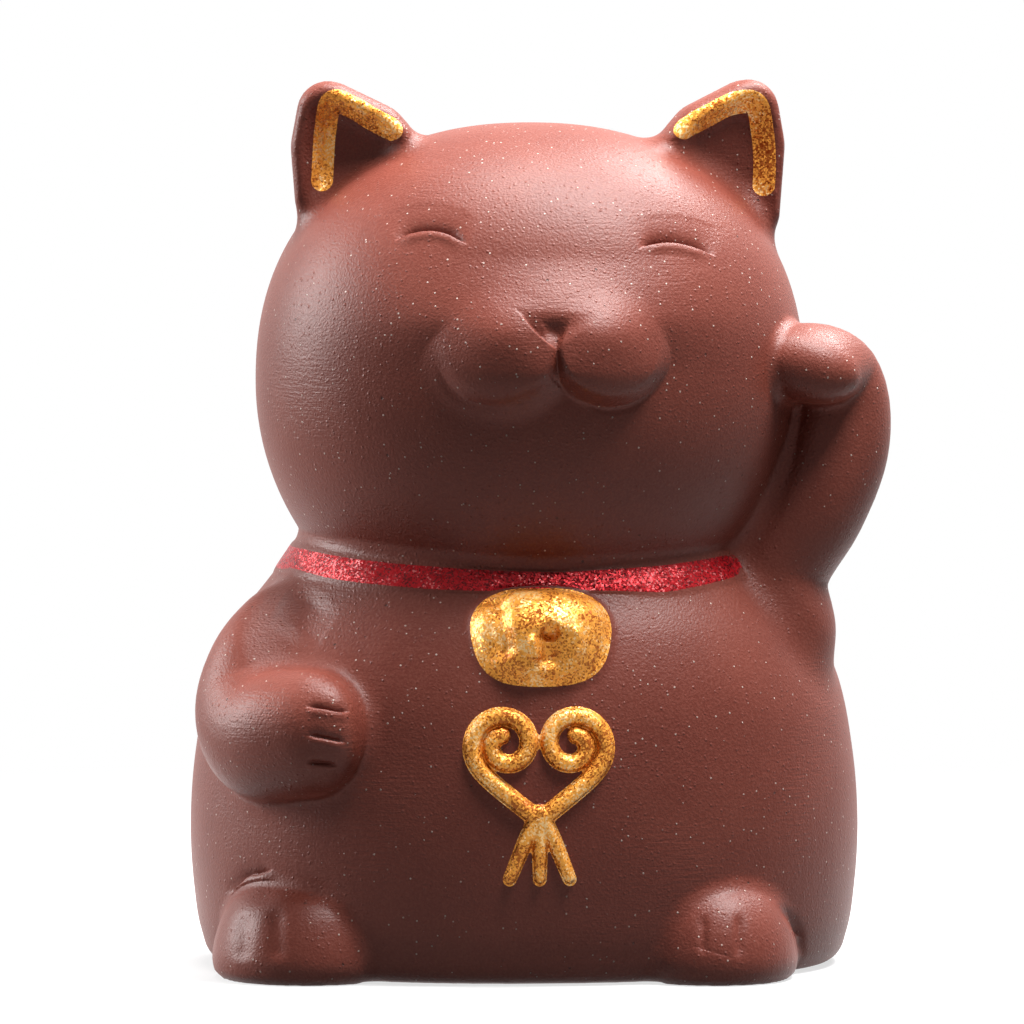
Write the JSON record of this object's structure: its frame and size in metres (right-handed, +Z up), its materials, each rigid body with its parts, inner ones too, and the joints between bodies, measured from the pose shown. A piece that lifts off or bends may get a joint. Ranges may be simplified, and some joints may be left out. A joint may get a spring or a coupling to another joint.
{
  "type": "cat tea pet",
  "caption": "Seated beckoning cat in unglazed clay: hollow body and head, raised left paw, painted collar, gilt bell, ear edging and cloud ornament.",
  "frame": {"origin": "on the table, under the middle of the figure's bounding box", "axes": "+Z up, the cat's face looks along -Y, and +X points to the cat's left, the side of its raised paw"},
  "size_m": [0.067, 0.059, 0.0848],
  "materials": {
    "clay": "unglazed red-brown stoneware, fine sand specks, soft sheen",
    "gilt": "grainy gold paint on clay relief",
    "red_glaze": "brushed red paint with fine glitter"
  },
  "bodies": {
    "root": {"body_shell": "clay", "base_disc": "clay", "head_shell": "clay", "ear_left": "clay", "ear_right": "clay", "ear_gilding_left": "gilt", "ear_gilding_right": "gilt", "arm_raised": "clay", "arm_resting": "clay", "foot_left": "clay", "foot_right": "clay", "tail": "clay", "collar_band": "red_glaze", "bell": "gilt", "cloud_ornament": "gilt"}
  },
  "joints": []
}
